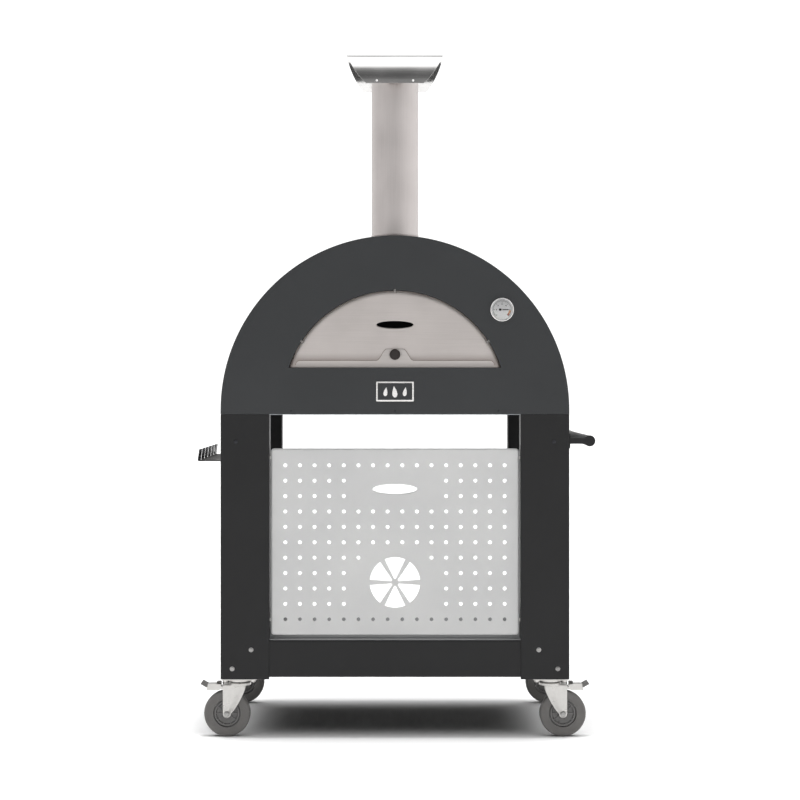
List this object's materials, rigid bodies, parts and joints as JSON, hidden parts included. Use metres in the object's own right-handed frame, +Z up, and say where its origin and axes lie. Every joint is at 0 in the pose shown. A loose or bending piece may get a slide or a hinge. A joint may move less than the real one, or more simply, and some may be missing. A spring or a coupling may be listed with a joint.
{
  "type": "wood fired pizza oven",
  "caption": "Half-round wood fired pizza oven with flue and cowl on a wheeled steel cart, with lift-off door, perforated front panel, side handle and tool rack.",
  "frame": {"origin": "on the floor, under the middle of the object's bounding box", "axes": "+Z up, the oven's mouth faces -Y, +X towards the push handle"},
  "size_m": [1.079, 0.656, 1.875],
  "materials": {
    "anthracite_coat": "fine textured anthracite powder coat",
    "cart_coat": "fine textured black-grey powder coat",
    "satin_steel": "satin stainless steel, fine brushed",
    "polished_steel": "bright polished stainless steel",
    "badge_metal": "satin steel with a dark enamelled field",
    "galvanised_steel": "galvanised, spangled",
    "ceramic_fibre": "matt white ceramic fibre",
    "refractory_stone": "rough cast refractory stone",
    "black_lacquer": "matt black lacquer",
    "dark_knob": "dark brown phenolic",
    "gauge_bezel": "polished steel",
    "dial_face": "printed silver-grey dial",
    "gauge_glass": "clear glass",
    "light_grey_coat": "light grey satin powder coat",
    "shelf_coat": "grey powder coat",
    "zinc_plate": "bright zinc plate",
    "grey_nylon": "moulded grey nylon",
    "grey_rubber": "grey non-marking rubber"
  },
  "bodies": {
    "oven_and_cart": {"badge_plate": "badge_metal", "base_tray": "galvanised_steel", "cap_strap": "satin_steel", "caster_plate_front_left": "zinc_plate", "caster_plate_front_right": "zinc_plate", "caster_plate_rear_left": "zinc_plate", "caster_plate_rear_right": "zinc_plate", "chimney_cap": "polished_steel", "firebox_back": "satin_steel", "firebox_vault": "satin_steel", "floor_insulation": "ceramic_fibre", "flue_collar": "satin_steel", "flue_pipe": "satin_steel", "front_beam": "cart_coat", "front_fascia": "anthracite_coat", "gauge_case": "gauge_bezel", "gauge_dial": "dial_face", "gauge_glass": "gauge_glass", "handle_bracket_front": "cart_coat", "handle_bracket_rear": "cart_coat", "handle_tube": "cart_coat", "hearth_tile_left": "refractory_stone", "hearth_tile_right": "refractory_stone", "insulation_blanket": "ceramic_fibre", "leg_front_left": "cart_coat", "leg_front_right": "cart_coat", "leg_rear_left": "cart_coat", "leg_rear_right": "cart_coat", "mouth_frame": "satin_steel", "outer_shell": "anthracite_coat", "rear_beam": "cart_coat", "rear_cover": "anthracite_coat", "shelf": "shelf_coat", "side_beam_left": "cart_coat", "side_beam_right": "cart_coat", "tool_rack": "cart_coat"},
    "door": {"door_panel": "satin_steel", "door_grip": "black_lacquer"},
    "air_flap": {"air_flap": "satin_steel", "air_knob": "dark_knob"},
    "gauge_needle": {"gauge_needle": "black_lacquer"},
    "front_panel": {"front_panel": "light_grey_coat"},
    "swivel_front_left": {"caster_fork_front_left": "zinc_plate", "caster_axle_front_left": "zinc_plate"},
    "wheel_front_left": {"caster_hub_front_left": "grey_nylon", "caster_tyre_front_left": "grey_rubber"},
    "brake_front_left": {"brake_pedal_front_left": "zinc_plate"},
    "swivel_front_right": {"caster_fork_front_right": "zinc_plate", "caster_axle_front_right": "zinc_plate"},
    "wheel_front_right": {"caster_hub_front_right": "grey_nylon", "caster_tyre_front_right": "grey_rubber"},
    "brake_front_right": {"brake_pedal_front_right": "zinc_plate"},
    "swivel_rear_left": {"caster_fork_rear_left": "zinc_plate", "caster_axle_rear_left": "zinc_plate"},
    "wheel_rear_left": {"caster_hub_rear_left": "grey_nylon", "caster_tyre_rear_left": "grey_rubber"},
    "swivel_rear_right": {"caster_fork_rear_right": "zinc_plate", "caster_axle_rear_right": "zinc_plate"},
    "wheel_rear_right": {"caster_hub_rear_right": "grey_nylon", "caster_tyre_rear_right": "grey_rubber"}
  },
  "joints": [
    {"name": "door_lift_off", "type": "slide", "parent": "oven_and_cart", "child": "door", "axis": [0, -1, 0], "range_m": [0, 0.12]},
    {"name": "air_flap_raise", "type": "slide", "parent": "door", "child": "air_flap", "axis": [0, 0, 1], "range_m": [0, 0.015]},
    {"name": "gauge_needle_turn", "type": "hinge", "parent": "oven_and_cart", "child": "gauge_needle", "pos_m": [0.288, -0.3241, 1.153], "axis": [0, 1, 0], "range_deg": [-225, 45]},
    {"name": "front_panel_lift", "type": "slide", "parent": "oven_and_cart", "child": "front_panel", "axis": [0, 0, 1], "range_m": [0, 0.03]},
    {"name": "caster_swivel_front_left", "type": "hinge", "parent": "oven_and_cart", "child": "swivel_front_left", "pos_m": [-0.42, -0.28, 0.145], "axis": [0, 0, 1], "continuous": true},
    {"name": "wheel_roll_front_left", "type": "hinge", "parent": "swivel_front_left", "child": "wheel_front_left", "pos_m": [-0.454, -0.28, 0.0625], "axis": [0, 1, 0], "continuous": true},
    {"name": "brake_press_front_left", "type": "hinge", "parent": "swivel_front_left", "child": "brake_front_left", "pos_m": [-0.456, -0.28, 0.132], "axis": [0, -1, 0], "range_deg": [0, 9]},
    {"name": "caster_swivel_front_right", "type": "hinge", "parent": "oven_and_cart", "child": "swivel_front_right", "pos_m": [0.42, -0.28, 0.145], "axis": [0, 0, 1], "continuous": true},
    {"name": "wheel_roll_front_right", "type": "hinge", "parent": "swivel_front_right", "child": "wheel_front_right", "pos_m": [0.454, -0.28, 0.0625], "axis": [0, 1, 0], "continuous": true},
    {"name": "brake_press_front_right", "type": "hinge", "parent": "swivel_front_right", "child": "brake_front_right", "pos_m": [0.456, -0.28, 0.132], "axis": [0, 1, 0], "range_deg": [0, 9]},
    {"name": "caster_swivel_rear_left", "type": "hinge", "parent": "oven_and_cart", "child": "swivel_rear_left", "pos_m": [-0.42, 0.28, 0.145], "axis": [0, 0, 1], "continuous": true},
    {"name": "wheel_roll_rear_left", "type": "hinge", "parent": "swivel_rear_left", "child": "wheel_rear_left", "pos_m": [-0.454, 0.28, 0.0625], "axis": [0, 1, 0], "continuous": true},
    {"name": "caster_swivel_rear_right", "type": "hinge", "parent": "oven_and_cart", "child": "swivel_rear_right", "pos_m": [0.42, 0.28, 0.145], "axis": [0, 0, 1], "continuous": true},
    {"name": "wheel_roll_rear_right", "type": "hinge", "parent": "swivel_rear_right", "child": "wheel_rear_right", "pos_m": [0.454, 0.28, 0.0625], "axis": [0, 1, 0], "continuous": true}
  ]
}
